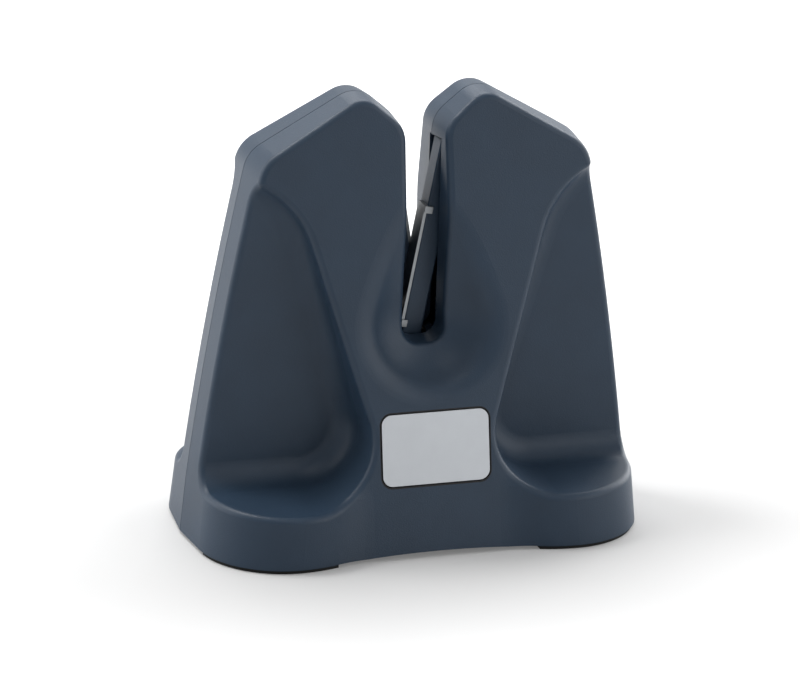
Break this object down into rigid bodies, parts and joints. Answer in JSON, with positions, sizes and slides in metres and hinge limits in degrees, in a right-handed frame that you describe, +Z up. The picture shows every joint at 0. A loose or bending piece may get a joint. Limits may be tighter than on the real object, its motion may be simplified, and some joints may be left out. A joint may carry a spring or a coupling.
{
  "type": "manual knife sharpener",
  "caption": "Free-standing manual knife sharpener: spring-loaded arms with sharpening plates cross in the slot between the wings of a hollow plastic body on rubber foot pads.",
  "frame": {"origin": "on the surface the sharpener stands on, under the middle of its bounding box", "axes": "+Z up, +X to the right along the body's length as seen from the badge side, which faces -Y"},
  "size_m": [0.1598, 0.0906, 0.1542],
  "materials": {
    "shell_plastic": "fine moulded texture, dark blue-grey",
    "base_plastic": "moulded, black",
    "foot_rubber": "matte, non-slip",
    "badge_metal": "satin, bare",
    "adhesive": "double-sided foam tape",
    "arm_plastic": "moulded, dark blue-grey",
    "sharpening_steel": "ground along its length",
    "bush_brass": "turned",
    "washer_nylon": "natural nylon",
    "pin_steel": "ground",
    "spring_steel": "drawn spring wire",
    "bumper_rubber": "matte",
    "screw_steel": "bright zinc"
  },
  "bodies": {
    "housing": {"front_shell": "shell_plastic", "rear_shell": "shell_plastic", "base_plate": "base_plastic", "front_right_foot": "foot_rubber", "front_left_foot": "foot_rubber", "rear_right_foot": "foot_rubber", "rear_left_foot": "foot_rubber", "badge_plate": "badge_metal", "badge_adhesive": "adhesive", "right_pivot_pin": "pin_steel", "left_pivot_pin": "pin_steel", "right_arm_washers": "washer_nylon", "left_arm_washers": "washer_nylon", "right_return_spring": "spring_steel", "left_return_spring": "spring_steel", "right_stop_bumper": "bumper_rubber", "left_stop_bumper": "bumper_rubber", "shell_screws": "screw_steel", "base_screws": "screw_steel"},
    "right_lever": {"right_arm": "arm_plastic", "right_sharpening_plate": "sharpening_steel", "right_arm_bush": "bush_brass"},
    "left_lever": {"left_arm": "arm_plastic", "left_sharpening_plate": "sharpening_steel", "left_arm_bush": "bush_brass"}
  },
  "joints": [
    {"name": "right_arm_hinge", "type": "hinge", "parent": "housing", "child": "right_lever", "pos_m": [-0.00643, -0.0038, 0.042], "axis": [0, 1, 0], "range_deg": [0, 10], "stiffness_Nm_per_rad": 0.7, "springref_deg": -8.02, "deforming": ["right_return_spring"]},
    {"name": "left_arm_hinge", "type": "hinge", "parent": "housing", "child": "left_lever", "pos_m": [0.00643, 0.0038, 0.042], "axis": [0, -1, 0], "range_deg": [0, 10], "stiffness_Nm_per_rad": 0.7, "springref_deg": -8.02, "deforming": ["left_return_spring"]}
  ]
}
